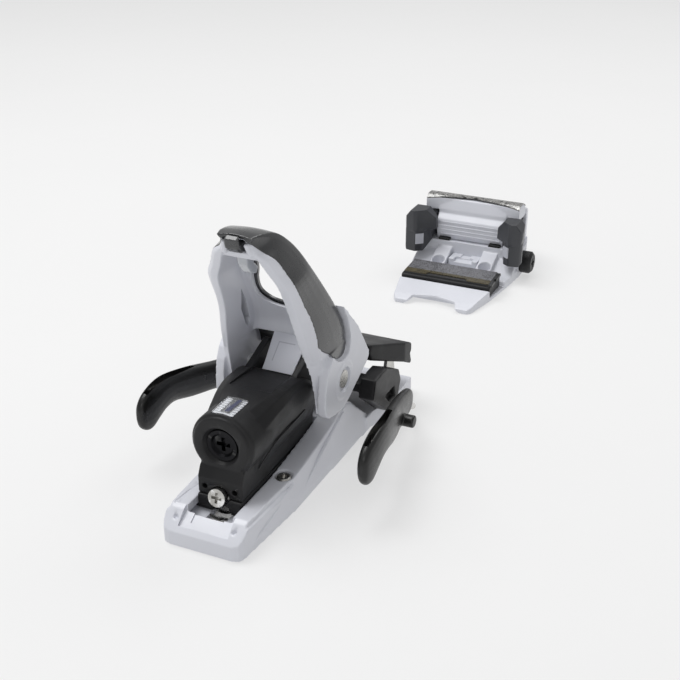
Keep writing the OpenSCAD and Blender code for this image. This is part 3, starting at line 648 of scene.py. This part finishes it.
def housing():
    rings = []
    for y, top, plateau, shoulder, zs, waist, zw in spline(HOUSING_RINGS, 4):
        half = [(0, 22.3), (13.2, 22.3), (14.3, 23.5), (14.3, 33),
                (waist * 0.92, (33 + zw) / 2 + 1), (waist, zw),
                ((waist + shoulder) / 2 + 0.4, (zw + zs) / 2), (shoulder, zs), (shoulder - 0.5, zs + 2.2),
                ((shoulder + plateau) / 2 + 1.2, (zs + 2.4 + top) / 2 + 0.8), (plateau, top - 0.1), (0, top)]
        rings.append([at(x, y, z) for x, z in half] + [at(-x, y, z) for x, z in half[-2:0:-1]])
    body = Solid().loft(rings)
    body.lathe([(16.6, 27.4), (17.8, 27.6), (18.1, 28.8), (19.6, 29.4), (20, 31), (20, 52), (19, 66)],
               round_barrel, 96)
    # stem down to the foot
    body.prism([(24.2, 22.3), (24.2, 33), (27, 39), (34, 44), (60, 46), (60, 22.3)], -14.3, 14.3, from_side)
    shell = body.piece("housing_shell", "black_plastic", "carriage", ("heel_housing",))
    melt(shell, 0.0006, 4)
    bake(shell)
    # seat of the release screw, screw tunnel, blind holes, label pocket and hollow in the top
    carve(shell, Solid().lathe([(9.6, 60), (9.6, 30.4), (10.4, 29.4), (12.2, 26.8), (12.2, 20)],
                               round_barrel, 72))
    carve(shell, Solid().lathe([(5.9, -6), (5.9, 30)], screw_tunnel, 48))
    for x in (-9.6, 9.6):
        carve(shell, Solid().lathe([(1.7, 20), (1.7, 30)], lambda a, b, y, x=x: at(x + a, y, 27.4 + b), 24))
    carve(shell, Solid().prism([(-6.7, 30.5), (6.7, 30.5), (6.7, 49.4), (-6.7, 49.4)], 72.0, 80, at))
    carve(shell, Solid().prism([(66, 80), (61, 74.6), (64, 72.8), (84, 70.6), (92, 70), (96, 80)],
                               -13.6, 13.6, from_side))
    horns = Solid()
    horns.prism([(84, 68), (88, 72.2), (101, 76.6), (112, 80.8), (115.4, 80.4), (117, 76), (116, 66), (113, 52),
                 (92, 60)], 13.3, 17.6, from_side)
    horns.mirror()
    soften(horns.piece("panel_horns", "black_plastic", "carriage", ("heel_housing",), smooth=False),
           0.0009, 3, 24)


def panel(u, v, lift):
    """A point on the white panel: u across it and v up its slope, both in millimetres."""
    return at(u, 95.2 + v * 0.777 - lift * 0.63, 67.2 + v * 0.63 + lift * 0.777)


def housing_marks():
    """The printed bar on the scale, the line on the white panel and the parting fold on both flanks."""
    bar = Solid().prism([(0.2, 33.4), (2.8, 33.4), (3.6, 47.6), (1.2, 47.6)], 73.72, 73.82, at)
    bar.piece("scale_bar", "indicator_navy", "carriage", smooth=False)
    line = Solid()
    for corners in ([(-6.2, 8), (-5.5, 8), (-5.5, 21.4), (-6.2, 21.4)],
                    [(-5.6, 20.7), (5, 20.7), (5, 21.4), (-5.6, 21.4)]):
        line.prism(corners, -0.2, 0.06, panel)
    line.piece("panel_line", "light_inlay", "carriage", smooth=False)
    fold = Solid()
    fold.tube(curve([(14.6, 44, 33.6), (17.3, 48, 40), (18.6, 60, 45), (20.3, 76, 48), (20.3, 92, 49)], 6),
              0.0005, 8)
    fold.mirror().piece("flank_fold", "black_plastic", "carriage", ("heel_housing",))


# ---------------------------------------------------------------- ski brake

# (y, lowest z, highest z, middle x, half width)
PADDLE_STATIONS = [
    (166, 30, 34, 58.8, 2), (164, 26.5, 37, 59, 3.2), (158, 23, 39.6, 59.8, 4.1), (140, 24.2, 44.4, 62.2, 4.6),
    (126, 27.4, 47.6, 65, 4.8), (113, 29.6, 50.8, 67.8, 5), (104, 31.4, 52.8, 69.6, 5.1), (90, 35, 55.4, 71.8, 5.2),
    (80, 34.4, 56.6, 72.6, 5.2), (72, 31, 56, 73, 5.1), (66, 28, 54.6, 73.2, 4.8), (61, 28.6, 52.4, 73.4, 4.2),
    (57, 32, 48.6, 73.5, 3.2), (55.2, 37, 44, 73.6, 1.4),
]


# The wire's groove as (middle x, y, lowest z, highest z, half width below, half width above)
GROOVE_STATIONS = [(68.2, 110, 46, 62, 1.4, 1.8), (71.6, 88, 47, 66, 2.6, 3), (73, 62.6, 49, 66, 1.6, 2)]
RING_POINTS = 20


def paddle_ring(y, low, high, x, half):
    """A rounded rectangle across the paddle."""
    ring = []
    for i in range(RING_POINTS):
        turn = 2 * math.pi * i / RING_POINTS
        across = math.copysign(abs(math.cos(turn)) ** 0.75, math.cos(turn))
        up = math.copysign(abs(math.sin(turn)) ** 0.85, math.sin(turn))
        ring.append(at(x + half * across, y, (low + high) / 2 + (high - low) / 2 * up))
    return ring


def paddles():
    solid = Solid()
    solid.loft([paddle_ring(*station) for station in spline(PADDLE_STATIONS, 4)])
    solid.lathe([(4, 66), (4, 75.2), (3.4, 75.8)], lambda a, b, x: at(x, 132 + a, 33 + b), 28)
    solid.mirror()
    made = solid.piece("brake_tips", "rubber_black", "brake_arms", ("brake_paddles",))
    melt(made, 0.0005, 3)
    bake(made)
    for side in (1, -1):
        carve(made, Solid().loft([
            [at(side * (x + dx), y, z) for dx, z in ((-below, low), (below, low), (above, high), (-above, high))]
            for x, y, low, high, below, above in GROOVE_STATIONS]))
    shade_by_angle(made, 50)
    ends = Solid()
    ends.tube(curve([(69.4, 108, 45), (71.2, 92, 47.4), (72.4, 78, 49.6), (72.8, 71, 50.2)], 5),
              [0.0013] * 13 + [0.0015, 0.0013, 0.0006], 14)
    ends.mirror().piece("wire_ends", "stainless_wire", "brake_arms")


# ---------------------------------------------------------------- heel base


def heel_base():
    node = frame["nodes"]["heel_base"]
    shell = bpy.data.objects.new("base_shell", node.data.copy())
    shell.matrix_world = node.matrix_world.copy()
    bpy.context.scene.collection.objects.link(shell)
    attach(shell, "ski_mount")
    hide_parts("heel_base")
    melt(shell, 0.0007, 3, 0.5)
    bake(shell)
    # sloping middle of the tail with its stepped lip
    carve(shell, Solid().prism([(3.2, 10.6), (12.6, 16.6), (13.6, 24), (0, 24)], -15.6, 16.4, from_side))
    carve(shell, Solid().prism([(7, 12.2), (12.6, 15.6), (13.6, 24), (5, 24)], -9.6, 9.4, from_side))
    # long groove on the left rail
    carve(shell, Solid().tube([at(-22.6, 12, 20.4), at(-21.6, 24, 20.6), at(-19.8, 36, 20.8)], 0.0011, 10))
    shade_by_angle(shell, 44)
    # slanting ridges on the flanks, thickest in the middle
    ridges = Solid()
    for points, thin, swell in (
            ([(23.6, 4.6, 2), (26.6, 22, 7.6), (27.7, 42, 13.2), (27.9, 56, 17.4)], 0.0005, 0.0011),
            ([(29.6, 70, 8.4), (29, 92, 16.6), (28.2, 112, 23), (27.7, 132, 28.6)], 0.0004, 0.0010)):
        path = curve(points, 5)
        last = len(path) - 1
        ridges.tube(path, [thin + swell * math.sin(math.pi * i / last) for i in range(len(path))], 12)
    ridges.mirror().piece("base_ridges", "white_plastic", "ski_mount", ("heel_base",))


# ---------------------------------------------------------------- springs


# Points in one turn of a spring
COIL_STEPS = 22


def coil(name, slot, body, hides, place, radius, wire, turns, length):
    """A compression spring with closed ends; place(a, b, along) gives the point."""
    path = []
    total = int(turns * COIL_STEPS)
    for i in range(total + 1):
        t = i / total
        along = wire + (length - 2 * wire) * (t - 0.035 * math.sin(2 * math.pi * t) * 1.6)
        turn = 2 * math.pi * i / COIL_STEPS
        path.append(place(radius * math.cos(turn), radius * math.sin(turn), along))
    Solid().tube(path, wire * MM, 10).piece(name, slot, body, hides)


def springs():
    coil("release_coil", "spring_steel", "heel_indicator", ("release_spring",),
         lambda a, b, y: at(a, 47.1 + y, BARREL_Z + b), 11.6, 1.75, 8, 47.3)
    coil("toe_coil", "spring_steel", "toe_indicator", ("toe_spring",),
         lambda a, b, x: toe_at(-31 + x, -3 + a, 12.5 + b), 6.9, 1.15, 9.5, 44.7)


# ---------------------------------------------------------------- toe details


def toe_details():
    """Raised ribs across the housing's rear wall."""
    ribs = Solid()
    for z in (29, 32.6, 36.2, 39.8):
        y = -9.6 - 0.15 * (z - 30) / 10
        ribs.prism([(y + 0.6, z), (y - 0.35, z + 0.2), (y - 0.35, z + 1.1), (y + 0.6, z + 1.3)], -27, 27,
                   lambda u, v, x: toe_at(x, u, v))
    made = ribs.piece("rear_ribs", "white_plastic", "ski_mount", smooth=False)
    soften(made, 0.0002)


# ---------------------------------------------------------------- CAD nodes

# Moulded nodes as (node, voxel size in metres, rounds of smoothing)
MELTED = [
    ("brake_pedal", 0.0007, 12), ("brake_block", 0.0007, 8), ("toe_housing", 0.0006, 3),
    ("left_wing", 0.0005, 3), ("right_wing", 0.0005, 3), ("carriage_foot", 0.0006, 2), ("toe_base", 0.0006, 3),
]
# Nodes with rounded edges as (node, width of the rounding in metres)
SOFTENED = [
    ("lever_grip", 0.0012), ("lever_clip", 0.0009), ("height_block", 0.0008), ("afd_carrier", 0.0005),
    ("front_panel", 0.0005), ("toe_roof", 0.0004), ("toe_knob", 0.0006), ("wire_clips", 0.0005),
    ("pedal_bracket", 0.0004), ("heel_lip", 0.0007), ("toe_bumpers", 0.0005), ("length_screw", 0.0003),
    ("heel_screws", 0.0003), ("release_screw", 0.0004), ("axle_caps", 0.0003),
]

for name, piece in frame["nodes"].items():
    finish_with(piece, SLOT_OF[name])
lever_arch()
lever_skin()
housing()
housing_marks()
paddles()
heel_base()
springs()
toe_details()
for name, voxel, rounds in MELTED:
    melt(frame["nodes"][name], voxel, rounds)
for name, width in SOFTENED:
    soften(frame["nodes"][name], width)

# ---------------------------------------------------------------- studio

FLOOR_GLOW = 0.52
WORLD_LIGHT = 0.42
CAMERA_AZIMUTH = math.radians(24.66)
CAMERA_PITCH = math.radians(25.93)
CAMERA_PLACE = Vector((290.6, -445.9, 388.0)) * MM + Vector((0, HEEL_Y, 0))


def make_camera():
    data = bpy.data.cameras.new("camera")
    data.sensor_width = 36.0
    data.lens = 61.0
    data.clip_end = 30.0
    camera = bpy.data.objects.new("camera", data)
    camera.location = CAMERA_PLACE
    camera.rotation_euler = (math.pi / 2 - CAMERA_PITCH, 0.0, CAMERA_AZIMUTH)
    bpy.context.scene.collection.objects.link(camera)
    bpy.context.scene.camera = camera


def area_light(name, place, target, size, watts):
    data = bpy.data.lights.new(name, "AREA")
    data.shape = "DISK"
    data.size = size
    data.energy = watts
    light = bpy.data.objects.new(name, data)
    light.location = place
    light.rotation_euler = (Vector(target) - Vector(place)).to_track_quat("-Z", "Y").to_euler()
    bpy.context.scene.collection.objects.link(light)


def make_floor():
    bm = bmesh.new()
    bmesh.ops.create_grid(bm, x_segments=8, y_segments=8, size=8.0)
    mesh = bpy.data.meshes.new("studio_floor")
    bm.to_mesh(mesh)
    bm.free()
    floor = bpy.data.objects.new("studio_floor", mesh)
    floor.location = (0, 0, cad_box[0][2] - 0.0002)
    shader = Shader("floor_paint")
    shader.set("Base Color", shader.ramp(shader.noise(3.0), (0.2, (0.30, 0.30, 0.30)),
                                         (0.8, (0.31, 0.31, 0.31))))
    shader.bsdf.inputs["Emission Color"].default_value = (1, 1, 1, 1)
    shader.bsdf.inputs["Emission Strength"].default_value = FLOOR_GLOW
    shader.set("Roughness", shader.span(shader.noise(40.0), 0.7, 0.8))
    mesh.materials.append(shader.material)
    bpy.context.scene.collection.objects.link(floor)


def make_world():
    world = bpy.data.worlds.new("studio")
    world.use_nodes = True
    world.node_tree.nodes["Background"].inputs["Color"].default_value = (1.0, 1.0, 1.0, 1.0)
    world.node_tree.nodes["Background"].inputs["Strength"].default_value = WORLD_LIGHT
    bpy.context.scene.world = world


make_camera()
make_floor()
make_world()
middle = (0.0, HEEL_Y + 0.15, 0.05)
area_light("key", (-0.7, HEEL_Y + 0.1, 1.8), middle, 1.3, 24.0)
area_light("back", (0.3, 0.9, 1.5), middle, 1.2, 9.0)
area_light("fill", (0.2, HEEL_Y - 1.3, 0.9), middle, 1.0, 3.0)
bpy.context.scene.view_settings.view_transform = "Standard"
